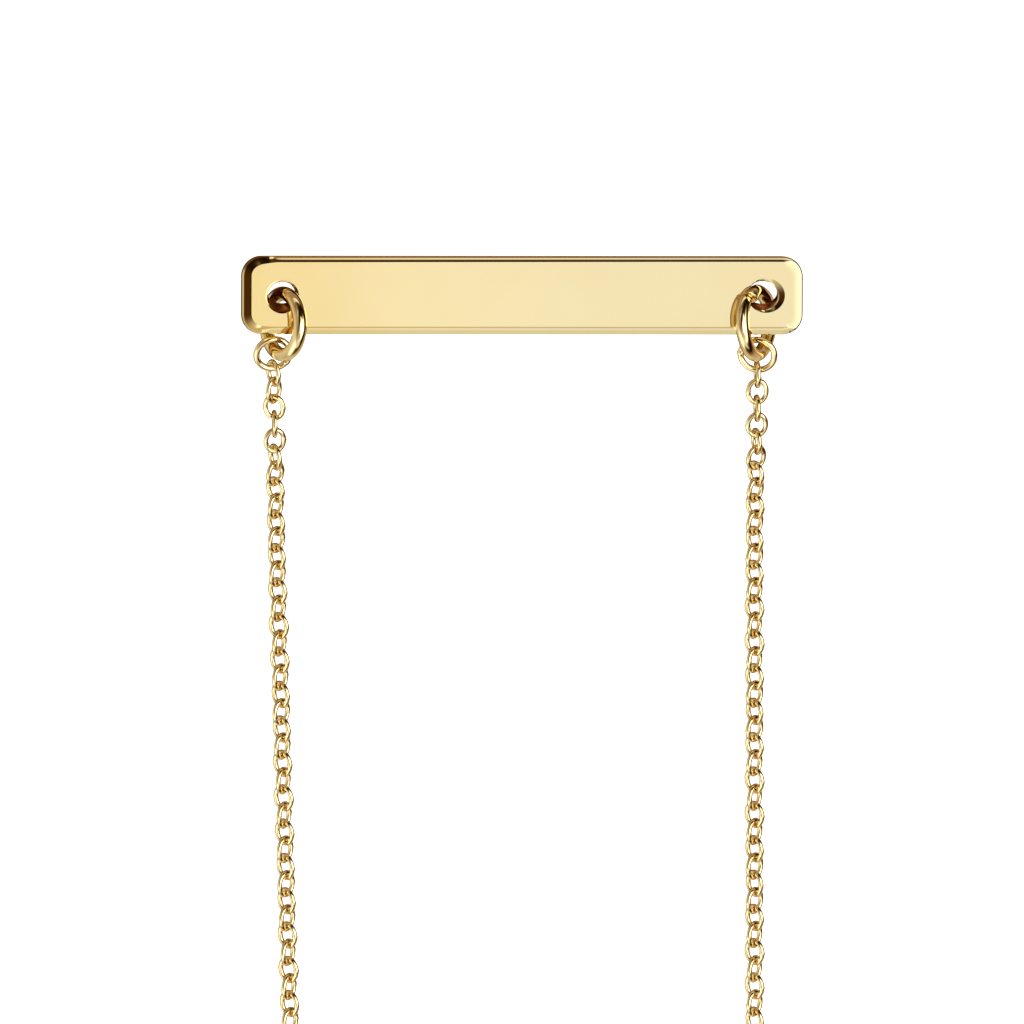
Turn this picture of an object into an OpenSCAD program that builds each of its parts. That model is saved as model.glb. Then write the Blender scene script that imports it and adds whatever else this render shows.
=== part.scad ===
// Bar pendant on its cable chain, lying flat with the bar at the +Y end and the clasp at the -Y end.
// Millimetres, +Z up, the surface it lies on at Z = 0.

/* [Necklace] */
// Length round the whole loop, through the bar and the clasp
necklace_l = 420; // [380:5:500]

/* [Bar] */
// Length of the bar
bar_l = 36; // [32:0.5:42]
// Width of the bar
bar_w = 5; // [4.6:0.1:5.8]
// Thickness of the bar
bar_t = 1.25; // [1.1:0.05:1.4]
// Radius of the bar's four corners, seen from the front
bar_corner = 1.3; // [0.8:0.1:1.8]
// Radius of the bar's rounded edges
bar_edge = 0.4; // [0.2:0.02:0.46]
// From the bar's end to the middle of its hole
hole_inset = 2.55; // [2.3:0.05:3.2]
// Play of the big ring's wire in the hole
hole_room = 0.3; // [0.3:0.02:0.6]
// Width of the bevel round each mouth of a hole
hole_rim = 0.22; // [0.15:0.01:0.3]

/* [Big rings] */
// Wire of the two big jump rings
ring_wire = 0.9; // [0.7:0.02:1]
// Space between the bar's strip beside the hole and the ring's inside
ring_room = 0.47; // [0.42:0.01:0.6]
// Lean of the left big ring from upright
lean_left = 26; // [20:1:28]
// Lean of the right big ring from upright
lean_right = 31; // [26:1:32]
// How far the left big ring stands towards the middle of the bar
shift_left = 0.1; // [0:0.01:0.16]
// How far the right big ring stands towards the middle of the bar
shift_right = 0.18; // [0:0.01:0.2]
// How far the left big ring stands above the bar's middle plane
ring_rise = 0.2; // [0.1:0.01:0.25]

/* [Small rings] */
// Wire of the two small soldered rings
small_wire = 0.42; // [0.34:0.02:0.5]
// Play in the small ring round the big ring's wire and the first link
small_room = 0.53; // [0.5:0.01:0.7]

/* [Chain] */
// Wire of the chain's links
link_wire = 0.31; // [0.24:0.01:0.32]
// Width of a link
link_w = 1.44; // [1.4:0.02:1.7]
// From one link's middle to the next
link_pitch = 1.2; // [1.1:0.02:1.4]
// Links on each side that are drawn one by one, next to the bar
links_drawn = 100; // [40:1:100]

/* [Clasp] */
// Outer diameter of the round clasp
clasp_od = 5.5; // [5:0.1:7]
// Thickness of the round clasp's tube
clasp_tube = 0.95; // [0.8:0.05:1.1]
// Outer diameter of the clasp's eye
eye_od = 2.2; // [2.2:0.1:2.6]
// Wire of the clasp's eye
eye_wire = 0.5; // [0.4:0.02:0.56]
// Outer diameter of the two end rings
end_ring_od = 2.8; // [2.8:0.1:3.4]
// Wire of the two end rings
end_ring_wire = 0.45; // [0.36:0.01:0.5]

/* [Fit] */
// Clearance between linked rings
ring_gap = 0.14; // [0.1:0.01:0.15]
// Clearance between linked chain links
link_gap = 0.13; // [0.1:0.01:0.15]

/* [Hidden] */

LEFT = -1;
RIGHT = 1;
ring_fn = 64;
wire_fn = 32;
past = 0.5;

// The big ring goes through the hole and round the strip of bar between the hole and the edge.
hole_x = bar_l / 2 - hole_inset;
hole_d = ring_wire / cos(lean_right) + bar_t * tan(lean_right) + hole_room;
strip_w = (bar_w - hole_d) / 2;
strip_y = -(bar_w + hole_d) / 4;
ring_r = norm([strip_w, bar_t / cos(lean_right)]) / 2 + ring_room + ring_wire / 2;
ring_drop = 0.075;
ring_y = strip_y - ring_drop;

// The small ring goes round the big ring's wire and holds the first link.
small_id = ring_wire + link_wire + small_room;
small_r = (small_id + small_wire) / 2;
small_push = (small_id - ring_wire) / 2 - ring_gap;

// How far the lowest point of a leaning ring or of the bar's far edge is below the bar's middle, at a tilt.
function down(tilt) = [0, sin(tilt), -cos(tilt)];
function ring_flat(lean, tilt) = sqrt(1 - pow(sin(lean) * cos(tilt), 2));
function ring_depth(centre, lean, tilt) =
    down(tilt) * centre + ring_r * ring_flat(lean, tilt) + ring_wire / 2;
function edge_depth(tilt) =
    down(tilt) * [0, bar_w / 2 - bar_edge, bar_edge - bar_t / 2] + bar_edge;
// The bar lies tilted, on its far edge and on the left big ring: halving finds the angle of rest.
function rest_tilt(low, high, steps) =
    let (mid = (low + high) / 2,
        ring_is_lower = ring_depth([0, ring_y, ring_rise], lean_left, mid) > edge_depth(mid))
    steps == 0 ? mid
    : ring_is_lower ? rest_tilt(mid, high, steps - 1)
    : rest_tilt(low, mid, steps - 1);
tilt = rest_tilt(0, 45, 30);
lift = edge_depth(tilt);
// The right big ring leans more, so it stands where it reaches the same surface.
rise_right = (down(tilt).y * ring_y + ring_r * ring_flat(lean_right, tilt) + ring_wire / 2 - lift)
    / cos(tilt);

function lean_of(side) = side == LEFT ? lean_left : lean_right;
function shift_of(side) = side == LEFT ? shift_left : shift_right;
function rise_of(side) = side == LEFT ? ring_rise : rise_right;
function ring_at(side) = [side * (hole_x - shift_of(side)), ring_y, rise_of(side)];

// A point or direction of the bar's own frame, once the bar lies tilted.
function laid_way(p) = [p.x, p.y * cos(tilt) + p.z * sin(tilt), p.z * cos(tilt) - p.y * sin(tilt)];
function laid(p) = laid_way(p) + [0, 0, lift];

// Where each small ring lies: round which point of the big ring, pushed which way, and tipped how.
ROUND_AT = 0;
PUSH_WAY = 1;
TIP_X = 2;
TIP_Y = 3;
small_left = [-32, -10, 9, 3];
small_right = [-23, -52, 6, -13];
function small_place(side) = side == LEFT ? small_left : small_right;
function hooked_at(side) =
    let (turn = small_place(side)[ROUND_AT], lean = lean_of(side))
    laid(ring_at(side) + ring_r * [-side * sin(turn) * sin(lean), -cos(turn), sin(turn) * cos(lean)]);
function small_at(side) =
    let (way = small_place(side)[PUSH_WAY])
    hooked_at(side) + small_push * [sin(way), -cos(way), 0];

// The strands: sideways drift for each millimetre along, straight to bend_from, then easing to parallel.
drift_left = 0.075;
drift_right = 0.05;
bend_from = 50;
bend_to = 90;
lie_down_over = 14;
function drift_of(side) = side == LEFT ? drift_left : drift_right;
function drifted(s) = s < bend_from ? s
    : s < bend_to ? s - pow(s - bend_from, 2) / (2 * (bend_to - bend_from))
    : (bend_from + bend_to) / 2;

// Each link is turned about the chain: the first ones as listed, the rest swaying about the settled turn.
turns_left = [64, 44, 22, 4, -6, -22, -36, -42];
turns_right = [88, 90, 88, 86, 76, 64, 56, 50];
settled_left = -45;
settled_right = 47;
sway = 6;
sway_step = 37;
function first_turns(side) = side == LEFT ? turns_left : turns_right;
function settled(side) = side == LEFT ? settled_left : settled_right;
function turn_of(side, i) = i < len(first_turns(side)) ? first_turns(side)[i]
    : settled(side) + sway * sin(sway_step * (i - len(first_turns(side))));

link_r = (link_w - link_wire) / 2;
link_l = link_pitch + 2 * link_wire + link_gap;
link_leg = link_l - link_w;
first_link = small_r - small_wire / 2 - ring_gap - link_wire / 2 + (link_l - link_wire) / 2;
function link_height(turn) = link_r * max(abs(sin(turn)), abs(cos(turn))) + link_wire / 2;
function ease(t) = t <= 0 ? 0 : t >= 1 ? 1 : t * t * (3 - 2 * t);
// The chain comes off the small ring's far side and lies down on the surface.
function hook_height(side) = small_at(side).z - small_r * tan(small_place(side)[TIP_X]);
function chain_height(side, s, turn) =
    let (left_up = 1 - ease((s - small_r) / lie_down_over))
    link_height(turn) + (hook_height(side) - link_height(turn)) * left_up;
function link_s(side, i) = first_link + i * link_pitch / norm([1, drift_of(side)]);
function link_at(side, i) =
    let (s = link_s(side, i))
    [small_at(side).x + drift_of(side) * drifted(s), small_at(side).y - s,
        chain_height(side, s, turn_of(side, i))];

// The clasp lies across the far end of the loop, between the two end rings.
clasp_r = (clasp_od - clasp_tube) / 2;
eye_r = (eye_od - eye_wire) / 2;
end_ring_r = (end_ring_od - end_ring_wire) / 2;
eye_sunk = 0.1;
clasp_tip = 20;
eye_x = -(clasp_od / 2 + eye_r - eye_sunk);
function end_ring_past(held_wire) = end_ring_r - (end_ring_wire + held_wire) / 2 - ring_gap;
end_left_x = eye_x - eye_r - end_ring_past(eye_wire);
end_right_x = clasp_r + end_ring_past(clasp_tube);
end_reach_left = end_ring_od / 2 + ring_gap - end_left_x;
end_reach_right = end_ring_od / 2 + ring_gap + end_right_x;
clasp_reach = (end_reach_left + end_reach_right) / 2;
clasp_z = max(clasp_r * sin(clasp_tip) + clasp_tube / 2, end_ring_r * cos(clasp_tip) + end_ring_wire / 2);

// The loop closes with a round turn on each side.
strand_x_left = small_at(LEFT).x + drift_left * drifted(bend_to);
strand_x_right = small_at(RIGHT).x + drift_right * drifted(bend_to);
loop_x = (strand_x_left + strand_x_right) / 2;
turn_r = (strand_x_right - strand_x_left) / 2 - clasp_reach;
turn_y = -(necklace_l / 2 - hole_x - turn_r * PI / 2 - clasp_reach);
clasp_y = turn_y - turn_r;
clasp_x = loop_x + (end_reach_left - end_reach_right) / 2;

// The far stretch of each side is drawn as one tube as wide as the links, with a ring every end_step.
tube_sides = 8;
end_step = 3.5;
turn_steps = 6;
tube_r = link_w / 2;
function tube_start(side) =
    link_at(side, links_drawn - 1).y - link_l / 2 - link_gap;
function straight_points(side) =
    let (y0 = tube_start(side), n = max(2, ceil((y0 - turn_y) / end_step)), x0 = small_at(side).x)
    [for (i = [0:n - 1]) let (y = y0 + (turn_y - y0) * i / n)
        [x0 + drift_of(side) * drifted(small_at(side).y - y), y, tube_r]];
function turn_points(side) =
    [for (i = [0:turn_steps]) let (a = 90 * i / turn_steps)
        [loop_x + side * (clasp_reach + turn_r * cos(a)), turn_y - turn_r * sin(a), tube_r]];
function tube_points(side) = concat(straight_points(side), turn_points(side));

// The origin is under the middle of the whole necklace.
far_edge_y = laid_way([0, bar_w / 2 - bar_edge, bar_t / 2 - bar_edge]).y + bar_edge;
near_edge_y = clasp_y - clasp_r * cos(clasp_tip) - clasp_tube / 2;
low_x = min(-bar_l / 2, strand_x_left - tube_r);
high_x = max(bar_l / 2, strand_x_right + tube_r);
middle = [(low_x + high_x) / 2, (far_edge_y + near_edge_y) / 2, 0];

gold = [0.88, 0.7, 0.36];

module ring(r, wire) {
    rotate_extrude($fn = ring_fn) translate([r, 0]) circle(d = wire, $fn = wire_fn);
}

module edge_profile(half_w) {
    // Half of the bar's cross-section, with its outer edges rounded.
    square_w = half_w - bar_edge;
    translate([0, -bar_t / 2]) square([square_w, bar_t]);
    translate([0, bar_edge - bar_t / 2]) square([half_w, bar_t - 2 * bar_edge]);
    for (s = [1, -1])
        translate([square_w, s * (bar_t / 2 - bar_edge)]) circle(r = bar_edge, $fn = wire_fn);
}

module bar_blank() {
    flat_l = bar_l - 2 * bar_corner;
    flat_w = bar_w - 2 * bar_corner;
    for (s = [1, -1]) {
        // Long half, from the middle line to the long edge
        translate([-flat_l / 2, 0, 0]) rotate([90, 0, 90])
            linear_extrude(flat_l) scale([s, 1]) edge_profile(bar_w / 2);
        // Short end between its two corners
        translate([s * flat_l / 2, flat_w / 2, 0]) rotate([90, 0, 0])
            linear_extrude(flat_w) scale([s, 1]) edge_profile(bar_corner);
        for (t = [1, -1])
            translate([s * flat_l / 2, t * flat_w / 2, 0])
                rotate([0, 0, s > 0 ? (t > 0 ? 0 : -90) : (t > 0 ? 90 : 180)])
                    rotate_extrude(angle = 90, $fn = ring_fn) edge_profile(bar_corner);
    }
}

module hole_cut() {
    cylinder(d = hole_d, h = bar_t + 2 * past, center = true, $fn = ring_fn);
    for (s = [0, 180]) rotate([s, 0, 0])
        translate([0, 0, bar_t / 2 - hole_rim])
            cylinder(d1 = hole_d, d2 = hole_d + 4 * hole_rim, h = 2 * hole_rim, $fn = ring_fn);
}

module lie_tilted() {
    translate([0, 0, lift]) rotate([-tilt, 0, 0]) children();
}

module in_frame() {
    color(gold) translate(-middle) children();
}

module bar() {
    in_frame() lie_tilted() difference() {
        bar_blank();
        for (side = [LEFT, RIGHT]) translate([side * hole_x, 0, 0]) hole_cut();
    }
}

module big_ring(side) {
    in_frame() lie_tilted() translate(ring_at(side))
        rotate([0, -side * lean_of(side), 0]) rotate([0, 90, 0]) ring(ring_r, ring_wire);
}

module small_ring(side) {
    in_frame() translate(small_at(side)) rotate([small_place(side)[TIP_X], 0, 0])
        rotate([0, small_place(side)[TIP_Y], 0]) ring(small_r, small_wire);
}

module link() {
    // One oval link, lengthways along X, lying in the XY plane
    for (s = [0, 180]) rotate([0, 0, s]) {
        translate([link_leg / 2, 0, 0]) rotate([0, 0, -90])
            rotate_extrude(angle = 180, $fn = ring_fn) translate([link_r, 0])
                circle(d = link_wire, $fn = wire_fn);
        translate([-link_leg / 2, link_r, 0]) rotate([0, 90, 0])
            cylinder(d = link_wire, h = link_leg, $fn = wire_fn);
    }
}

module link_row(side) {
    for (i = [0:links_drawn - 1]) {
        step = link_at(side, i + 1) - link_at(side, i > 0 ? i - 1 : 0);
        translate(link_at(side, i)) rotate([0, -asin(step.z / norm(step)), atan2(step.y, step.x)])
            rotate([turn_of(side, i) + 90 * (i % 2), 0, 0]) link();
    }
}

module tube(points) {
    // One closed tube swept through the points, each ring square to the way of the path there
    n = len(points);
    ways = [for (i = [0:n - 1]) points[min(i + 1, n - 1)] - points[max(i - 1, 0)]];
    rings = [for (i = [0:n - 1], k = [0:tube_sides - 1])
        let (across = [-ways[i].y, ways[i].x, 0] / norm(ways[i]), a = 360 * k / tube_sides)
            points[i] + tube_r * (cos(a) * across + sin(a) * [0, 0, 1])];
    sides = [for (i = [0:n - 2], k = [0:tube_sides - 1])
        let (a = i * tube_sides + k, b = i * tube_sides + (k + 1) % tube_sides)
            [a, a + tube_sides, b + tube_sides, b]];
    first = [for (k = [0:tube_sides - 1]) k];
    last = [for (k = [tube_sides - 1:-1:0]) (n - 1) * tube_sides + k];
    polyhedron(rings, concat([first, last], sides));
}

module end_ring(x) {
    in_frame() translate([clasp_x + x, clasp_y, clasp_z]) rotate([clasp_tip - 90, 0, 0])
        ring(end_ring_r, end_ring_wire);
}

module ring_left() {
    big_ring(LEFT);
}

module ring_right() {
    big_ring(RIGHT);
}

module small_ring_left() {
    small_ring(LEFT);
}

module small_ring_right() {
    small_ring(RIGHT);
}

module chain_left() {
    in_frame() link_row(LEFT);
}

module chain_right() {
    in_frame() link_row(RIGHT);
}

module chain_end_left() {
    in_frame() tube(tube_points(LEFT));
}

module chain_end_right() {
    in_frame() tube(tube_points(RIGHT));
}

module end_ring_left() {
    end_ring(end_left_x);
}

module end_ring_right() {
    end_ring(end_right_x);
}

module clasp() {
    in_frame() translate([clasp_x, clasp_y, clasp_z]) rotate([clasp_tip, 0, 0]) {
        ring(clasp_r, clasp_tube);
        translate([eye_x, 0, 0]) ring(eye_r, eye_wire);
    }
}

bar();
ring_left();
ring_right();
small_ring_left();
small_ring_right();
chain_left();
chain_right();
chain_end_left();
chain_end_right();
end_ring_left();
end_ring_right();
clasp();
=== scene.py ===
import math

import bpy
from mathutils import Matrix, Vector


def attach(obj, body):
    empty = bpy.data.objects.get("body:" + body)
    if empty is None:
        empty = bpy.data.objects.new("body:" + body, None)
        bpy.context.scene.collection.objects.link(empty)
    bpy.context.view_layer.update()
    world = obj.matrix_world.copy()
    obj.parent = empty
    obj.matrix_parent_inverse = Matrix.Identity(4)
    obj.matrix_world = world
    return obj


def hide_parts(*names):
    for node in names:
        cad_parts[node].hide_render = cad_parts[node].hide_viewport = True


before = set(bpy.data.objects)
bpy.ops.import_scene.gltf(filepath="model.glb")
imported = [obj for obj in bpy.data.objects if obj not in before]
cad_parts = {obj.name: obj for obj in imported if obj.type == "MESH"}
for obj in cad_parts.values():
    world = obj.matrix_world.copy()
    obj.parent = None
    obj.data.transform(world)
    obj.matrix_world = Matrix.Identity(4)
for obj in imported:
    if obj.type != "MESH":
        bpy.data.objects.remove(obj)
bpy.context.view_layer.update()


# The bar: a flat strip of gold, polished to a mirror, with rolled edges that meet the face at a
# crisp line. Its hole mouths are rounded by polishing, and the right one is worn a little wider.
# It lies tilted, on its far long edge and on the big rings that pass under it.
MM = 0.001
BAR_L, BAR_W, BAR_T = 36 * MM, 5 * MM, 1.25 * MM
BAR_CORNER = 1.3 * MM
HOLE_X = 15.45 * MM
TILT = math.radians(21.2537)
LIFT = 1.37094 * MM
MIDDLE = Vector((0.830693, -92.009, 0)) * MM
GOLD_PALE = (0.95, 0.765, 0.4, 1)
GOLD_DEEP = (0.9, 0.68, 0.31, 1)


def bare(thing):
    """Nothing stays selected, and then only this thing is."""
    bpy.ops.object.select_all(action="DESELECT")
    thing.select_set(True)
    bpy.context.view_layer.objects.active = thing


def named(name):
    thing = bpy.context.object
    thing.name = thing.data.name = name
    bare(thing)
    return thing


def settle(thing, matrix):
    """Puts the thing in place, with its place in its mesh."""
    bare(thing)
    thing.matrix_world = matrix @ thing.matrix_world
    bpy.ops.object.transform_apply(location=True, rotation=True, scale=True)


def pick(thing, wanted, mode="FACE"):
    """In edit mode, selects the faces, edges or vertices whose middle is wanted."""
    bpy.ops.object.mode_set(mode="EDIT")
    bpy.ops.mesh.select_mode(type=mode)
    bpy.ops.mesh.select_all(action="DESELECT")
    bpy.ops.object.mode_set(mode="OBJECT")
    mesh = thing.data
    if mode == "VERT":
        for v in mesh.vertices:
            v.select = wanted(v.co)
    elif mode == "EDGE":
        for e in mesh.edges:
            e.select = wanted(*[mesh.vertices[i].co for i in e.vertices])
    else:
        for f in mesh.polygons:
            f.select = wanted(f.center, f.normal)
    bpy.ops.object.mode_set(mode="EDIT")


def cut(thing, tool):
    """Takes the tool's shape out of the thing, and the tool away."""
    bare(thing)
    boolean = thing.modifiers.new("cut", "BOOLEAN")
    boolean.operation, boolean.solver, boolean.object = "DIFFERENCE", "EXACT", tool
    bpy.ops.object.modifier_apply(modifier=boolean.name)
    bpy.data.objects.remove(tool)


def finish_group():
    """What the finish of polished gold does over a surface: its tone, shine and fine unevenness."""
    group = bpy.data.node_groups.new("polished gold finish", "ShaderNodeTree")
    for name, kind in (("Place", "Vector"), ("Pale", "Color"), ("Deep", "Color"),
                       ("Patch Size", "Float"), ("Dull", "Float"), ("Wave", "Float")):
        group.interface.new_socket(name, in_out="INPUT", socket_type="NodeSocket" + kind)
    for name, kind in (("Colour", "Color"), ("Roughness", "Float"), ("Height", "Float")):
        group.interface.new_socket(name, in_out="OUTPUT", socket_type="NodeSocket" + kind)
    nodes, link = group.nodes, group.links.new
    given, out = nodes.new("NodeGroupInput"), nodes.new("NodeGroupOutput")
    patches = nodes.new("ShaderNodeTexNoise")
    patches.inputs["Detail"].default_value = 2
    link(given.outputs["Place"], patches.inputs["Vector"])
    link(given.outputs["Patch Size"], patches.inputs["Scale"])
    tone = nodes.new("ShaderNodeMapRange")
    tone.inputs["From Min"].default_value = 0.35
    tone.inputs["From Max"].default_value = 0.7
    link(patches.outputs["Fac"], tone.inputs["Value"])
    colour = nodes.new("ShaderNodeMix")
    colour.data_type = "RGBA"
    link(tone.outputs["Result"], colour.inputs["Factor"])
    link(given.outputs["Pale"], colour.inputs["A"])
    link(given.outputs["Deep"], colour.inputs["B"])
    link(colour.outputs["Result"], out.inputs["Colour"])
    fine = nodes.new("ShaderNodeTexNoise")
    fine.inputs["Scale"].default_value = 2600
    fine.inputs["Detail"].default_value = 3
    link(given.outputs["Place"], fine.inputs["Vector"])
    dull = nodes.new("ShaderNodeMath")
    dull.operation = "MULTIPLY_ADD"
    dull.inputs[2].default_value = 0.03
    link(fine.outputs["Fac"], dull.inputs[0])
    link(given.outputs["Dull"], dull.inputs[1])
    link(dull.outputs["Value"], out.inputs["Roughness"])
    wave = nodes.new("ShaderNodeMath")
    wave.operation = "MULTIPLY"
    link(patches.outputs["Fac"], wave.inputs[0])
    link(given.outputs["Wave"], wave.inputs[1])
    link(wave.outputs["Value"], out.inputs["Height"])
    return group


FINISH = finish_group()


def gold(name, pale, deep, patch_size, dull, wave):
    material = bpy.data.materials.new(name)
    material.use_nodes = True
    nodes, link = material.node_tree.nodes, material.node_tree.links.new
    shader = nodes["Principled BSDF"]
    shader.inputs["Metallic"].default_value = 1
    finish = nodes.new("ShaderNodeGroup")
    finish.node_tree = FINISH
    finish.inputs["Pale"].default_value = pale
    finish.inputs["Deep"].default_value = deep
    finish.inputs["Patch Size"].default_value = patch_size
    finish.inputs["Dull"].default_value = dull
    finish.inputs["Wave"].default_value = wave
    link(nodes.new("ShaderNodeTexCoord").outputs["Object"], finish.inputs["Place"])
    link(finish.outputs["Colour"], shader.inputs["Base Color"])
    link(finish.outputs["Roughness"], shader.inputs["Roughness"])
    bump = nodes.new("ShaderNodeBump")
    bump.inputs["Distance"].default_value = 0.02 * MM
    link(finish.outputs["Height"], bump.inputs["Height"])
    link(bump.outputs["Normal"], shader.inputs["Normal"])
    return material


# The edge's profile at each end and along each side: distance in from the outline, and depth below the
# face, in mm. The left end has a gentle broad bevel, the long edges are rolled, and the right end is
# polished round so softly that only its outline is steep.
PROFILES = {
    "left": ((0, 0.33), (0.045, 0.22), (0.09, 0.104), (0.3, 0.047), (0.5, 0.012), (0.57, 0),
             (0.7, 0), (0.85, 0), (1, 0)),
    "right": ((0, 0.26), (0.01, 0.17), (0.02, 0.084), (0.05, 0.06), (0.075, 0.04), (0.1, 0.02),
              (0.35, 0.011), (0.65, 0.003), (1, 0)),
    "far": ((0, 0.376), (0.02, 0.325), (0.04, 0.284), (0.15, 0.163), (0.26, 0.079), (0.4, 0),
            (0.55, 0), (0.8, 0), (1, 0)),
    "near": ((0, 0.38), (0.05, 0.226), (0.13, 0.179), (0.33, 0.063), (0.4, 0.0315), (0.5, 0),
             (0.65, 0), (0.8, 0), (1, 0)),
}
# How far from an end, in mm, its profile starts to give way to the side's, and has given way.
SIDE_FROM = {
    ("left", "far"): (0.7, 2.4),
    ("left", "near"): (0.6, 2),
    ("right", "far"): (0.4, 1.3),
    ("right", "near"): (0.35, 1),
}
# The far edge's roll is this much smaller at the right end.
FAR_NARROWS = 0.88
RING_STEP = 0.1 * MM
# The rings of the face, by their steps in from the one before. The profiles place all but the last two.
RING_STEPS = (1, 1, 1, 1, 1, 1, 1, 1, 3, 1)
# Cuts across the bar near each end, where the profiles change: the first, and from one to the next.
FIRST_CUT, CUT_STEP, CUTS = 0.02 * MM, 0.2 * MM, 10


def edge_place(p):
    """Where a vertex of the face's evenly spaced rings goes to lie on the edge's profile."""
    x, y = abs(p.x) - (BAR_L / 2 - BAR_CORNER), abs(p.y) - (BAR_W / 2 - BAR_CORNER)
    if x > 0 and y > 0:
        out, inwards = Vector((x, y)).normalized(), BAR_CORNER - math.hypot(x, y)
        from_end = BAR_CORNER * (1 - out.x)
    else:
        out, inwards = (Vector((1, 0)), BAR_CORNER - x) if x > y else (Vector((0, 1)), BAR_CORNER - y)
        from_end = 0 if x > y else BAR_CORNER - x
    ring = round(inwards / RING_STEP)
    if ring >= len(PROFILES["left"]):
        return Vector((p.x, p.y, BAR_T / 2))
    end, side = "right" if p.x > 0 else "left", "far" if p.y > 0 else "near"
    first, last = SIDE_FROM[end, side]
    share = min(max((from_end / MM - first) / (last - first), 0), 1)
    share *= share * (3 - 2 * share)
    (end_in, end_down), (side_in, side_down) = PROFILES[end][ring], PROFILES[side][ring]
    if (end, side) == ("right", "far"):
        side_in, side_down = side_in * FAR_NARROWS, side_down * FAR_NARROWS
    move = inwards - (end_in + (side_in - end_in) * share) * MM
    down = (end_down + (side_down - end_down) * share) * MM
    return Vector((p.x + math.copysign(1, p.x) * out.x * move,
                   p.y + math.copysign(1, p.y) * out.y * move, BAR_T / 2 - down))


bpy.ops.mesh.primitive_plane_add(size=1, location=(0, 0, 0))
bar = named("bar_body")
bar.scale = (BAR_L, BAR_W, 1)
bpy.ops.object.transform_apply(scale=True)
pick(bar, lambda v: True, "VERT")
bpy.ops.mesh.bevel(offset=BAR_CORNER, segments=24, affect="VERTICES")
bpy.ops.mesh.select_all(action="SELECT")
bpy.ops.mesh.extrude_region_move(TRANSFORM_OT_translate={"value": (0, 0, BAR_T / 2)})
for steps in RING_STEPS:
    bpy.ops.mesh.inset(thickness=steps * RING_STEP, depth=0, use_even_offset=True)
for way in (-1, 1):
    for step in range(CUTS):
        cut_x = way * (BAR_L / 2 - BAR_CORNER - FIRST_CUT - CUT_STEP * step)
        bpy.ops.mesh.select_all(action="SELECT")
        bpy.ops.mesh.bisect(plane_co=(cut_x, 0, 0), plane_no=(1, 0, 0))
bpy.ops.object.mode_set(mode="OBJECT")
for v in bar.data.vertices:
    if v.co.z > 0:
        v.co = edge_place(v.co)
pick(bar, lambda centre, normal: abs(centre.z) < 1e-7 and abs(normal.z) > 0.9)
bpy.ops.mesh.delete(type="ONLY_FACE")
bpy.ops.object.mode_set(mode="OBJECT")
bare(bar)
mirror = bar.modifiers.new("other face", "MIRROR")
mirror.use_axis = (False, False, True)
mirror.merge_threshold = 1e-6
bpy.ops.object.modifier_apply(modifier=mirror.name)

# Each hole's cutter, from the face down: depth, half width, half height, and how far its middle lies to
# the right and up, in mm. The holes lean and narrow a little inside, and the right one's rim is worn to a
# shallow dish on its right. The cutter starts above the face and goes on a little past the back.
HOLE_ABOVE, HOLE_PAST = 0.2, 0.3
HOLES = {
    -1: ((0, 1.07, 1.07, 0, -0.1), (0.02, 1.02, 1.02, 0, -0.1), (0.06, 0.985, 0.985, 0, -0.1),
         (0.13, 0.965, 0.965, 0, -0.1), (0.45, 0.97, 0.72, 0.02, 0.2), (0.9, 1.02, 0.84, -0.03, 0.12),
         (1.25, 1.06, 0.98, -0.08, -0.02)),
    1: ((0, 1.21, 1.1, 0.16, 0), (0.04, 1.12, 1.02, 0.08, 0), (0.085, 1.025, 0.96, -0.005, 0),
        (0.125, 0.98, 0.93, -0.05, 0), (0.5, 0.98, 0.74, -0.05, 0.22), (0.9, 1, 0.84, 0.02, 0.12),
        (1.25, 1.06, 0.98, 0.07, 0)),
}
for side, hole in HOLES.items():
    through = [b + (b - a) * HOLE_PAST for a, b in zip(hole[-2], hole[-1])]
    bpy.ops.mesh.primitive_circle_add(vertices=64, radius=MM, fill_type="NGON",
                                      location=(0, 0, BAR_T / 2 + HOLE_ABOVE * MM))
    cutter = named("cutter")
    bpy.ops.object.transform_apply(location=True)
    bpy.ops.object.mode_set(mode="EDIT")
    bpy.ops.mesh.select_all(action="SELECT")
    last_depth, last_wide, last_high, last_right, last_up = -HOLE_ABOVE, 1, 1, 0, 0
    for depth, wide, high, right, up in ((-HOLE_ABOVE,) + hole[0][1:],) + hole + (through,):
        if depth > last_depth:
            down = (0, 0, (last_depth - depth) * MM)
            bpy.ops.mesh.extrude_region_move(TRANSFORM_OT_translate={"value": down})
        bpy.ops.transform.translate(value=((right - last_right) * MM, (up - last_up) * MM, 0))
        bpy.ops.transform.resize(value=(wide / last_wide, high / last_high, 1),
                                 center_override=(right * MM, up * MM, 0))
        last_depth, last_wide, last_high, last_right, last_up = depth, wide, high, right, up
    bpy.ops.mesh.select_all(action="SELECT")
    bpy.ops.mesh.normals_make_consistent(inside=False)
    bpy.ops.object.mode_set(mode="OBJECT")
    settle(cutter, Matrix.Translation((side * HOLE_X, 0, 0)))
    cut(bar, cutter)

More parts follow.
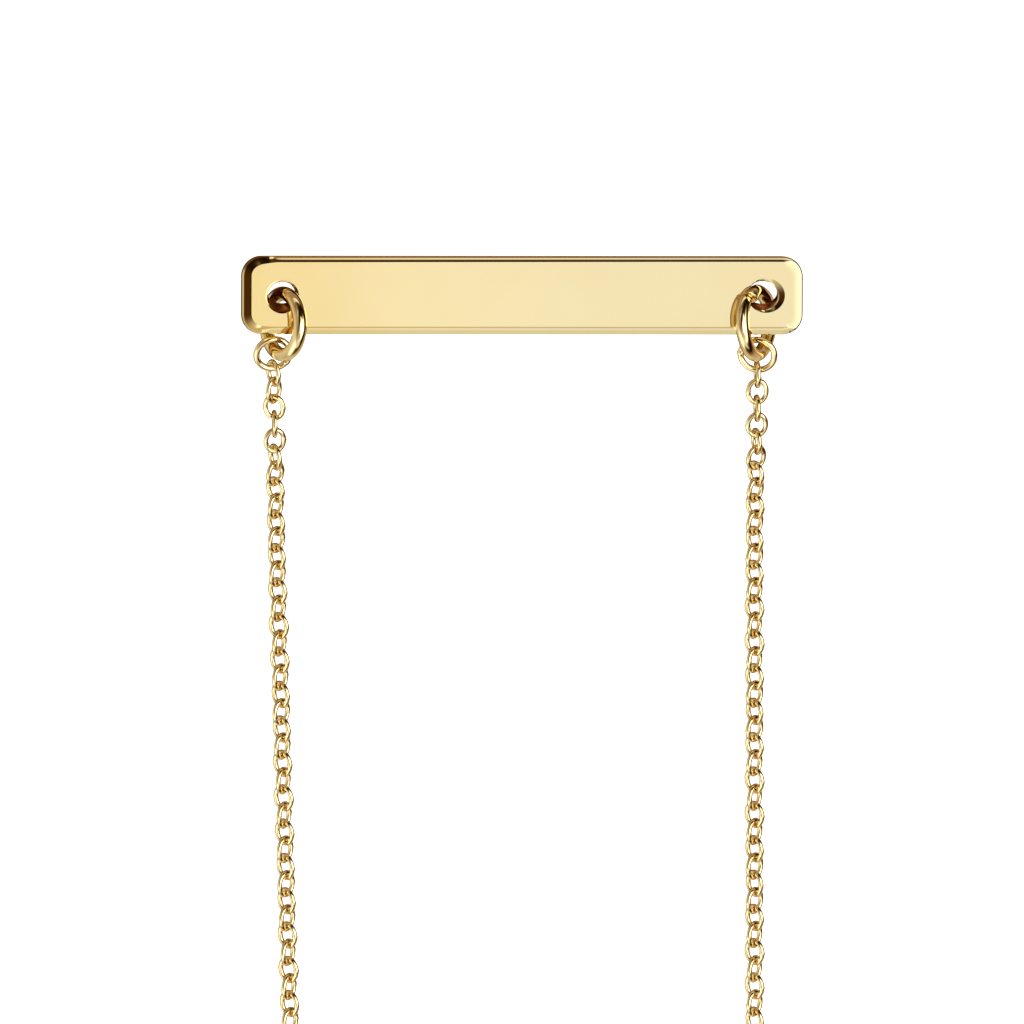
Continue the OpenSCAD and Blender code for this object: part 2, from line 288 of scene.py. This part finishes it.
# The face's gold is painted warm at the left end and pale and cool at the right one: a painted reflection of
# warmer light to the left. The bores are painted dark: painted shade inside the holes.
PAINTED_REFLECTION_LEFT, PAINTED_REFLECTION_RIGHT = -18.8 * MM, 17.2 * MM
PAINTED_REFLECTION_AT = (0, 0.28, 0.65)
FACE_PAINTED_REFLECTION_TONES = {
    "Pale": ((0.93, 0.71, 0.3, 1), GOLD_PALE, (0.91, 0.765, 0.43, 1)),
    "Deep": ((0.9, 0.66, 0.25, 1), (0.93, 0.74, 0.36, 1), (0.9, 0.745, 0.4, 1)),
}
# The painted shade in the bores starts this far below the face and reaches this far from each hole's middle.
BORE_SHADE_FROM, BORE_SHADE_R = 0.13 * MM, 1.3 * MM
CREASE = math.radians(9)
bare(bar)
bpy.ops.object.shade_smooth_by_angle(angle=CREASE)
LAID = Matrix.Translation(Vector((0, 0, LIFT)) - MIDDLE) @ Matrix.Rotation(-TILT, 4, "X")
face_gold = gold("mirror polished gold with painted reflection tones", GOLD_PALE, GOLD_PALE, 160, 0.02, 0.02)
face_nodes, face_link = face_gold.node_tree.nodes, face_gold.node_tree.links.new
along_bar = face_nodes.new("ShaderNodeSeparateXYZ")
face_link(face_nodes["Texture Coordinate"].outputs["Object"], along_bar.inputs["Vector"])
painted_reflection_share = face_nodes.new("ShaderNodeMapRange")
painted_reflection_share.inputs["From Min"].default_value = PAINTED_REFLECTION_LEFT
painted_reflection_share.inputs["From Max"].default_value = PAINTED_REFLECTION_RIGHT
face_link(along_bar.outputs["X"], painted_reflection_share.inputs["Value"])
# Two ramps along the bar paint the reflection into the gold: warm at the left end, pale and cool at the
# right.
for socket, painted_reflection_tones in FACE_PAINTED_REFLECTION_TONES.items():
    tone = face_nodes.new("ShaderNodeValToRGB")
    tone.color_ramp.elements.new(0.5)
    for element, place, colour in zip(tone.color_ramp.elements, PAINTED_REFLECTION_AT, painted_reflection_tones):
        element.position, element.color = place, colour
    face_link(painted_reflection_share.outputs["Result"], tone.inputs["Fac"])
    face_link(tone.outputs["Color"], face_nodes["Group"].inputs[socket])
bar.data.materials.append(face_gold)
# The bores' gold is rougher, as drilled. Its dark brown-red colour is painted shade inside the holes.
bar.data.materials.append(gold("drilled bore gold with painted shade", (0.2, 0.068, 0.024, 1), (0.1, 0.03, 0.01, 1),
                               2500, 0.5, 0.05))
pick(bar, lambda centre, normal: 0.005 * MM - BAR_T / 2 < centre.z < BAR_T / 2 - BORE_SHADE_FROM - 0.005 * MM
     and math.hypot(abs(centre.x) - HOLE_X, centre.y) < BORE_SHADE_R)
bpy.context.object.active_material_index = 1
bpy.ops.object.material_slot_assign()
bpy.ops.object.mode_set(mode="OBJECT")
settle(bar, LAID)
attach(bar, "root")
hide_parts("bar")


# The big jump rings: thick round wire, cut and closed by hand, one through each hole. They lean over
# to opposite sides, and the right one shows its butt seam where the wire enters the hole.
RING_WIRE = 0.9 * MM
RING_R = 1.94806 * MM
RING_Y = -1.85026 * MM
LEANS = {-1: 26, 1: 31}
RING_X = {-1: -15.35 * MM, 1: 15.27 * MM}
RING_Z = {-1: 0.198 * MM, 1: 0.125861 * MM}
RING_YAW = {-1: 0, 1: -4}
# Where the seam is, in radians round the ring, and how far each wire end stands off, sideways and outwards.
RING_SEAM = {-1: 0.3, 1: 2.34}
RING_ENDS = {-1: ((0, 0), (0, 0)), 1: ((-0.32 * MM, 0.2 * MM), (0.1 * MM, 0.42 * MM))}
SEAM_OPEN = 0.05 * MM
# The share of the ring's round over which each end stands off, and of the wire by which its rim is broken.
ENDS_OVER = (0.3, 0.17)
END_BROKEN = 0.03


def jump_ring(name, radius, wire, seam_at, open_by, ends, around, round_wire):
    """Wire wound once round and closed but for a hairline. The rims of its cut ends are lightly broken, and
    each end stands off sideways and outwards by its own amount, as pliers left it."""
    gap = open_by / radius
    bpy.ops.mesh.primitive_circle_add(vertices=round_wire, radius=wire / 2, fill_type="NGON",
                                      location=(radius, 0, 0), rotation=(math.pi / 2, 0, 0))
    ring = named(name)
    bpy.ops.object.transform_apply(location=True, rotation=True)
    bpy.ops.object.mode_set(mode="EDIT")
    bpy.ops.mesh.select_all(action="SELECT")
    bpy.ops.mesh.spin(steps=around, angle=2 * math.pi - gap, center=(0, 0, 0), axis=(0, 0, 1))
    bpy.ops.mesh.select_all(action="SELECT")
    bpy.ops.mesh.normals_make_consistent(inside=False)
    bpy.ops.object.mode_set(mode="OBJECT")
    pick(ring, lambda centre, normal: (centre - Vector((radius, 0, 0))).length < wire * 0.2)
    bpy.ops.mesh.bevel(offset=wire * END_BROKEN, segments=2)
    bpy.ops.object.mode_set(mode="OBJECT")
    bpy.ops.object.shade_smooth_by_angle(angle=math.radians(40))
    for v in ring.data.vertices:
        turned = math.atan2(-v.co.y, -v.co.x) / (2 * math.pi)
        for way, reach, (sideways, outwards) in zip((-1, 1), ENDS_OVER, ends):
            near = min(max((way * turned - 0.5 + reach) / reach, 0), 1)
            near *= near * (3 - 2 * near)
            v.co.z += sideways * near
            v.co.xy += v.co.xy.normalized() * outwards * near
    settle(ring, Matrix.Rotation(seam_at, 4, "Z"))
    return ring


ring_gold = gold("polished wire gold", GOLD_PALE, GOLD_DEEP, 900, 0.05, 0.01)
for side, name in ((-1, "ring_left"), (1, "ring_right")):
    ring = jump_ring(name + "_wire", RING_R, RING_WIRE, RING_SEAM[side], SEAM_OPEN, RING_ENDS[side], 120, 32)
    leaning = Matrix.Rotation(math.pi / 2 - math.radians(side * LEANS[side]), 4, "Y")
    settle(ring, LAID @ Matrix.Translation((RING_X[side], 0, 0))
           @ Matrix.Rotation(math.radians(RING_YAW[side]), 4, "Z")
           @ Matrix.Translation((0, RING_Y, RING_Z[side])) @ leaning)
    ring.data.materials.append(ring_gold)
    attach(ring, "root")
    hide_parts(name)


# The small rings: thinner wire, soldered shut, one on each big ring, lying almost flat. The solder
# stands as a small lump on the wire.
SMALL_WIRE = 0.42 * MM
SMALL_R = 1.08 * MM
SMALL_AT = {-1: Vector((-15.8512, -3.80368, 1.96219)) * MM, 1: Vector((15.24, -3.75892, 2.20092)) * MM}
SMALL_TIP = {-1: (9, 3), 1: (6, -13)}
SMALL_SOLDER = {-1: -0.6, 1: 3.1}
SMALL_LUMP = 1.2


def soldered_ring(name, radius, wire, solder_at, lump, around, round_wire):
    """A closed ring of wire whose solder makes it thicker over a short stretch."""
    bpy.ops.mesh.primitive_torus_add(major_radius=radius, minor_radius=wire / 2,
                                     major_segments=around, minor_segments=round_wire)
    ring = named(name)
    for off, size in ((0, lump), (1, 0.6 * lump + 0.4), (-1, 0.55 * lump + 0.45)):
        a = 2 * math.pi * off / around
        centre = Vector((radius * math.cos(a), radius * math.sin(a), 0))
        across = Vector((-math.sin(a), math.cos(a), 0))
        pick(ring, lambda v: abs((v - centre).dot(across)) < wire * 0.02 and v.x > 0, "VERT")
        bpy.ops.transform.resize(value=(size, size, size), center_override=centre)
        bpy.ops.object.mode_set(mode="OBJECT")
    bpy.ops.object.shade_smooth()
    settle(ring, Matrix.Rotation(solder_at, 4, "Z"))
    return ring


chain_gold = gold("polished chain gold", (0.97, 0.8, 0.44, 1), (0.92, 0.71, 0.33, 1), 700, 0.05, 0.01)
for side, name in ((-1, "small_ring_left"), (1, "small_ring_right")):
    ring = soldered_ring(name + "_wire", SMALL_R, SMALL_WIRE, SMALL_SOLDER[side], SMALL_LUMP, 72, 16)
    tip_x, tip_y = SMALL_TIP[side]
    settle(ring, Matrix.Translation(SMALL_AT[side] - MIDDLE) @ Matrix.Rotation(math.radians(tip_x), 4, "X")
           @ Matrix.Rotation(math.radians(tip_y), 4, "Y"))
    ring.data.materials.append(chain_gold)
    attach(ring, "root")
    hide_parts(name)


# The chain: oval links of thin wire, each turned a quarter against the next, laid on the surface.
# Near the bar they follow the drawn links one by one, and from there they go on at the same pitch
# round the far turn to the end rings.
LINK_WIRE = 0.33 * MM
LINK_LUMP = 1.14
LINK_W = 1.5 * MM
PITCH = 1.2 * MM
LINKS_DRAWN = 100
LINKS_NEAR = 48
LINK_PLAY = 0.02 * MM
LINK_R = (LINK_W - LINK_WIRE) / 2
LINK_L = PITCH + 2 * LINK_WIRE + LINK_PLAY
FIRST_LINK = 1.395 * MM
DRIFT = {-1: 0.075, 1: 0.0535}
BEND_FROM, BEND_TO = 50 * MM, 90 * MM
LIE_DOWN_OVER = 14 * MM
TURNS = {-1: (64, 44, 22, 4, -6, -22, -36, -42), 1: (88, 90, 88, 86, 76, 64, 56, 50)}
SETTLED = {-1: -45, 1: 47}
SWAY, SWAY_STEP = 6, 37
LOOP_X = 4.17011 * MM
TURN_R = 9.47127 * MM
TURN_Y = -174.373 * MM
CLASP_REACH = 5.3 * MM
INTO_END_RING = 0.36 * MM
TURN_WIDE = TURN_R + INTO_END_RING - 0.05 * MM
TURN_DEEP = TURN_R - 0.2 * MM
END_TURN = {-1: 20, 1: -18}
ENDING_OVER = 8


def drifted(s):
    """The length over which a chain that is s long has drifted sideways. The drift fades out at a bend."""
    if s < BEND_FROM:
        return s
    if s < BEND_TO:
        return s - (s - BEND_FROM) ** 2 / (2 * (BEND_TO - BEND_FROM))
    return (BEND_FROM + BEND_TO) / 2


def turn_of(side, i):
    """How far the chain is twisted at link i, in degrees."""
    first = TURNS[side]
    if i < len(first):
        return first[i]
    return SETTLED[side] + SWAY * math.sin(math.radians(SWAY_STEP * (i - len(first))))


def link_height(turn):
    """How high the middles of two twisted links lie, so that the lower one just rests on the surface."""
    turn = math.radians(turn)
    return LINK_R * max(abs(math.sin(turn)), abs(math.cos(turn))) + LINK_WIRE * LINK_LUMP / 2


def link_at(side, i):
    """The middle of link i, on its way down from the small ring."""
    s = FIRST_LINK + i * PITCH / math.hypot(1, DRIFT[side])
    eased = min(max((s - SMALL_R) / LIE_DOWN_OVER, 0), 1)
    left_up = 1 - eased * eased * (3 - 2 * eased)
    hook = SMALL_AT[side].z - SMALL_R * math.tan(math.radians(SMALL_TIP[side][0]))
    low = link_height(turn_of(side, i))
    return Vector((SMALL_AT[side].x + DRIFT[side] * drifted(s), SMALL_AT[side].y - s,
                   low + (hook - low) * left_up))


def far_path(side):
    """Points from the last drawn link round the far turn to the end ring."""
    start, count = link_at(side, LINKS_DRAWN - 1), 24
    start.z = 0
    reach = CLASP_REACH - INTO_END_RING
    turn = [Vector((LOOP_X + side * (reach + TURN_WIDE * math.cos(a)), TURN_Y - TURN_DEEP * math.sin(a), 0))
            for a in (math.pi / 2 * i / count for i in range(count + 1))]
    return [start.lerp(turn[0], i / count) for i in range(count)] + turn


def along(points, s):
    """The point at the length s of a path, and the way the path goes there."""
    for a, b in zip(points, points[1:]):
        length = (b - a).length
        if s <= length or b is points[-1]:
            return a + (b - a) * (s / length), (b - a).normalized()
        s -= length


def link_mesh(name, around, round_wire):
    """One oval link, lengthways along X: a ring pulled apart, with a small lump where it is soldered."""
    bpy.ops.mesh.primitive_torus_add(major_radius=LINK_R, minor_radius=LINK_WIRE / 2,
                                     major_segments=around, minor_segments=round_wire)
    link = named(name)
    for v in link.data.vertices:
        v.co.x += (LINK_L - LINK_W) / 2 * v.co.x / math.hypot(v.co.x, v.co.y)
    pick(link, lambda v: abs(v.x) < 1e-7 and v.y > 0, "VERT")
    bpy.ops.transform.resize(value=(LINK_LUMP, LINK_LUMP, LINK_LUMP), center_override=(0, LINK_R, 0))
    bpy.ops.object.mode_set(mode="OBJECT")
    bpy.ops.object.shade_smooth()
    return link


def link_copy(link, at, way, turn):
    """A copy of the link, lying along the way and turned about it."""
    copied = bpy.data.objects.new("link", link.data.copy())
    bpy.context.collection.objects.link(copied)
    heading, rising = math.atan2(way.y, way.x), math.asin(way.z)
    copied.matrix_world = (Matrix.Translation(at - MIDDLE) @ Matrix.Rotation(heading, 4, "Z")
                           @ Matrix.Rotation(-rising, 4, "Y") @ Matrix.Rotation(math.radians(turn), 4, "X"))
    return copied


near_link = link_mesh("near_link", 32, 12)
far_link = link_mesh("far_link", 16, 6)
for side, name in ((-1, "left"), (1, "right")):
    links = []
    for i in range(LINKS_DRAWN):
        way = (link_at(side, i + 1) - link_at(side, max(i - 1, 0))).normalized()
        link = near_link if i < LINKS_NEAR else far_link
        links.append(link_copy(link, link_at(side, i), way, turn_of(side, i) + 90 * (i % 2)))
    path = far_path(side)
    whole = sum((b - a).length for a, b in zip(path, path[1:]))
    count = round(whole / PITCH)
    last_turn = END_TURN[side] + 90 * side * ((LINKS_DRAWN - 1 + count) % 2)
    for k in range(1, count + 1):
        i = LINKS_DRAWN - 1 + k
        at, way = along(path, whole * k / count)
        ending = max(0, 1 - (count - k) / ENDING_OVER)
        turn = turn_of(side, i) * (1 - ending) + last_turn * ending
        at.z = link_height(turn)
        links.append(link_copy(far_link, at, way, turn + 90 * (i % 2)))
    bpy.ops.object.select_all(action="DESELECT")
    for link in links:
        link.select_set(True)
    bpy.context.view_layer.objects.active = links[0]
    bpy.ops.object.join()
    chain = named("chain_" + name + "_links")
    settle(chain, Matrix.Identity(4))
    chain.data.materials.append(chain_gold)
    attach(chain, "root")
    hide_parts("chain_" + name, "chain_end_" + name)
bpy.data.objects.remove(near_link)
bpy.data.objects.remove(far_link)


# The clasp: a plain round one of tube with a soldered eye, between two end rings of wire, lying
# tipped across the far end of the loop.
CLASP_OD, CLASP_TUBE = 5.5 * MM, 0.95 * MM
EYE_OD, EYE_WIRE = 2.2 * MM, 0.5 * MM
END_OD, END_WIRE = 2.8 * MM, 0.45 * MM
END_SEAM, END_SEAM_OPEN = 1.2, 0.02 * MM
CLASP_TIP = math.radians(20)
CLASP_AT = Vector((5.32011, -183.844, 1.32914)) * MM
EYE_X = -3.5 * MM
END_X = {-1: -4.91 * MM, 1: 2.61 * MM}

bpy.ops.mesh.primitive_torus_add(major_radius=(CLASP_OD - CLASP_TUBE) / 2, minor_radius=CLASP_TUBE / 2,
                                 major_segments=96, minor_segments=24)
clasp = named("clasp_body")
bpy.ops.mesh.primitive_torus_add(major_radius=(EYE_OD - EYE_WIRE) / 2, minor_radius=EYE_WIRE / 2,
                                 major_segments=48, minor_segments=16, location=(EYE_X, 0, 0))
eye = named("clasp_eye")
bare(clasp)
weld = clasp.modifiers.new("weld", "BOOLEAN")
weld.operation, weld.solver, weld.object = "UNION", "EXACT", eye
bpy.ops.object.modifier_apply(modifier=weld.name)
bpy.data.objects.remove(eye)
bare(clasp)
bpy.ops.object.shade_smooth_by_angle(angle=math.radians(40))
settle(clasp, Matrix.Translation(CLASP_AT - MIDDLE) @ Matrix.Rotation(CLASP_TIP, 4, "X"))
clasp.data.materials.append(chain_gold)
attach(clasp, "root")
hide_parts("clasp")

for side, name in ((-1, "end_ring_left"), (1, "end_ring_right")):
    ring = jump_ring(name + "_wire", (END_OD - END_WIRE) / 2, END_WIRE, END_SEAM, END_SEAM_OPEN,
                     ((0, 0), (0, 0)), 64, 16)
    settle(ring, Matrix.Translation(CLASP_AT + Vector((END_X[side], 0, 0)) - MIDDLE)
           @ Matrix.Rotation(CLASP_TIP - math.pi / 2, 4, "X"))
    ring.data.materials.append(chain_gold)
    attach(ring, "root")
    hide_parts(name)


# The surface it lies on: plain white, lit until its shadows almost go, and kept out of the metal.
bpy.ops.mesh.primitive_plane_add(size=80, location=(0, 0, -0.01 * MM))
floor = named("floor")
paper = bpy.data.materials.new("white surface")
paper.use_nodes = True
sheet = paper.node_tree.nodes["Principled BSDF"]
sheet.inputs["Base Color"].default_value = (0.9, 0.9, 0.9, 1)
sheet.inputs["Roughness"].default_value = 1
sheet.inputs["Emission Color"].default_value = (1, 1, 1, 1)
sheet.inputs["Emission Strength"].default_value = 0.92
floor.data.materials.append(paper)
floor.visible_glossy = False


# The light: a wide bright ceiling that the polished face mirrors, with darker sides that draw the
# edges and the rings, all soft.
LEAN, NOD_OFF = math.radians(7.5), math.radians(1.5)
NEARNESS = 14
world = bpy.data.worlds.new("studio")
bpy.context.scene.world = world
world.use_nodes = True
sky_nodes, sky_link = world.node_tree.nodes, world.node_tree.links.new


def sky_math(kind, *given):
    """One step of arithmetic on the way that the sky is looked at."""
    step = sky_nodes.new("ShaderNodeMath")
    step.operation = kind
    for socket, value in zip(step.inputs, given):
        if isinstance(value, (int, float)):
            socket.default_value = value
        else:
            sky_link(value, socket)
    return step.outputs["Value"]


to_bar = sky_nodes.new("ShaderNodeMapping")
to_bar.inputs["Rotation"].default_value = (TILT - NOD_OFF, -LEAN, 0)
sky_link(sky_nodes.new("ShaderNodeTexCoord").outputs["Generated"], to_bar.inputs["Vector"])
unit = sky_nodes.new("ShaderNodeVectorMath")
unit.operation = "NORMALIZE"
sky_link(to_bar.outputs["Vector"], unit.inputs[0])
parts = sky_nodes.new("ShaderNodeSeparateXYZ")
sky_link(unit.outputs["Vector"], parts.inputs["Vector"])
upwards = parts.outputs["Z"]
off_middle = sky_math("DIVIDE", sky_math("ARCCOSINE", upwards), math.pi)
sideways_squared = sky_math("SUBTRACT", 1, sky_math("MULTIPLY", upwards, upwards))
sideways = sky_math("MAXIMUM", sky_math("SQRT", sideways_squared), 1e-4)


SKY = 2.6
# Each side of the studio, by the way that it lies (degrees round from the right end of the bar): the
# light's brightness at each angle (degrees) off the middle that the face mirrors. A dim light is a
# warm one, and SKY is the brightest.
SIDES = {
    0: ((2.5, 1), (4, 1.3), (7, 2.6), (50, 2.6), (61, 0.3), (70, 0.01), (88, 0.01), (94, 0.15),
        (102, 0.35), (112, 0.55), (140, 0.5), (160, 0.08)),
    45: ((2.5, 1), (4, 1.3), (7, 2.4), (22, 2.4), (29, 0.02), (78, 0.01), (88, 0.12), (100, 0.37),
         (115, 0.5), (140, 0.2), (160, 0.08)),
    90: ((2.5, 1), (5, 2), (10, 2), (14, 0.75), (21, 0.5), (28, 0.05), (40, 0.01), (66, 0.01),
         (72, 1.2), (80, 1.2), (85, 0.35), (100, 0.38), (115, 0.2), (150, 0.08)),
    112: ((2.5, 1), (4, 2), (7, 2), (10, 0.3), (14, 0.02), (50, 0.02), (56, 0.3), (66, 0.2), (72, 0.8),
          (80, 0.8), (86, 0.35), (100, 0.4), (115, 0.3), (145, 0.08)),
    135: ((2.5, 1), (4, 2), (7, 2), (10, 0.01), (37, 0.02), (41, 0.8), (46, 0.8), (52, 0.55),
          (61, 0.37), (74, 0.24), (84, 0.37), (95, 0.52), (115, 0.45), (140, 0.08)),
    180: ((2.5, 1), (4, 2.4), (8, 2.4), (11, 0.03), (22, 0.05), (33, 0.08), (40, 0.5), (60, 0.5),
          (80, 0.58), (95, 0.66), (120, 0.8), (145, 0.7), (165, 0.08)),
    202: ((2.5, 1), (4, 2.4), (10, 2.4), (13, 0.06), (22, 0.1), (30, 0.04), (56, 0.04), (66, 0.3),
          (76, 0.6), (90, 0.85), (112, 0.75), (140, 0.45), (165, 0.08)),
    225: ((2.5, 1), (4, 2.2), (13, 2.2), (19, 0.7), (34, 0.62), (52, 0.68), (58, 1), (66, 2.2),
          (95, 2.2), (102, 0.9), (109, 0.5), (132, 0.7), (155, 0.08)),
    270: ((2.5, 1), (4, 2.2), (22, 2.2), (26, 0.62), (39, 0.62), (44, 1), (50, 1), (56, 0.8), (67, 0.8),
          (73, 0.1), (89, 0.1), (101, 0.5), (112, 0.72), (140, 0.7), (160, 0.08)),
    315: ((2.5, 1), (4, 1.3), (7, 2.6), (46, 2.6), (54, 0.2), (60, 0.01), (80, 0.01), (91, 0.33),
          (102, 0.56), (120, 0.66), (145, 0.6), (165, 0.08)),
}


def light_colour(brightness):
    """Full light is very slightly cool. Dimmed light turns warm."""
    green = min(max(0.33 + 0.9 * brightness, 0.42), 1.02)
    blue = min(max(1.35 * brightness - 0.1, 0.1), 1.08)
    return brightness, brightness * green, brightness * blue, SKY


light_sum = share_sum = None
for round_from_right, stops in SIDES.items():
    ramp = sky_nodes.new("ShaderNodeValToRGB")
    elements = ramp.color_ramp.elements
    while len(elements) < len(stops):
        elements.new(1)
    for element, (degrees, brightness) in zip(elements, stops):
        element.position = degrees / 180
        element.color = [part / SKY for part in light_colour(brightness)]
    sky_link(off_middle, ramp.inputs["Fac"])
    turned = math.radians(round_from_right)
    facing = sky_math("ADD", sky_math("MULTIPLY", parts.outputs["X"], math.cos(turned)),
                      sky_math("MULTIPLY", parts.outputs["Y"], math.sin(turned)))
    share = sky_math("POWER", sky_math("MAXIMUM", sky_math("DIVIDE", facing, sideways), 0), NEARNESS)
    part = sky_nodes.new("ShaderNodeVectorMath")
    part.operation = "SCALE"
    sky_link(ramp.outputs["Color"], part.inputs[0])
    sky_link(share, part.inputs["Scale"])
    if light_sum:
        total = sky_nodes.new("ShaderNodeVectorMath")
        sky_link(light_sum, total.inputs[0])
        sky_link(part.outputs["Vector"], total.inputs[1])
        light_sum = total.outputs["Vector"]
        share_sum = sky_math("ADD", share_sum, share)
    else:
        light_sum, share_sum = part.outputs["Vector"], share
evened = sky_nodes.new("ShaderNodeVectorMath")
evened.operation = "SCALE"
sky_link(light_sum, evened.inputs[0])
sky_link(sky_math("DIVIDE", 1, share_sum), evened.inputs["Scale"])
sky_link(evened.outputs["Vector"], sky_nodes["Background"].inputs["Color"])
sky_nodes["Background"].inputs["Strength"].default_value = SKY
seen = sky_nodes.new("ShaderNodeBackground")
seen.inputs["Color"].default_value = (1, 1, 1, 1)
either = sky_nodes.new("ShaderNodeMixShader")
sky_link(sky_nodes.new("ShaderNodeLightPath").outputs["Is Camera Ray"], either.inputs["Fac"])
sky_link(sky_nodes["Background"].outputs["Background"], either.inputs[1])
sky_link(seen.outputs["Background"], either.inputs[2])
sky_link(either.outputs["Shader"], sky_nodes["World Output"].inputs["Surface"])


# The camera: far off with a long lens, so that the chains keep their width down the picture. It looks
# down on the bar's face, a little from the left.
PER_MM = 15.702
LENS, SENSOR = 1400, 36
NOD = TILT + NOD_OFF
IMAGE = 1024
# The middle of the bar's face in the picture, in pixels from the left and from the top.
BAR_RIGHT_PX, BAR_DOWN_PX = 522, 295.2
towards_camera = Vector((-math.sin(LEAN), math.sin(NOD) * math.cos(LEAN), math.cos(NOD) * math.cos(LEAN)))
image_right = (Vector((1, 0, 0)) - towards_camera * towards_camera.x).normalized()
image_up = towards_camera.cross(image_right)
off_bar = image_right * (IMAGE / 2 - BAR_RIGHT_PX) + image_up * (BAR_DOWN_PX - IMAGE / 2)
aim = Vector((0, 0, LIFT)) - MIDDLE + off_bar / PER_MM * MM
far_off = LENS / SENSOR * IMAGE / PER_MM * MM
camera_data = bpy.data.cameras.new("camera")
camera_data.lens, camera_data.sensor_width = LENS, SENSOR
camera_data.clip_start, camera_data.clip_end = 0.1, 100
camera = bpy.data.objects.new("camera", camera_data)
bpy.context.collection.objects.link(camera)
camera.matrix_world = Matrix.Translation(aim + towards_camera * far_off) @ Matrix(
    (image_right, image_up, towards_camera)).transposed().to_4x4()
bpy.context.scene.camera = camera
bpy.context.scene.view_settings.view_transform = "Standard"
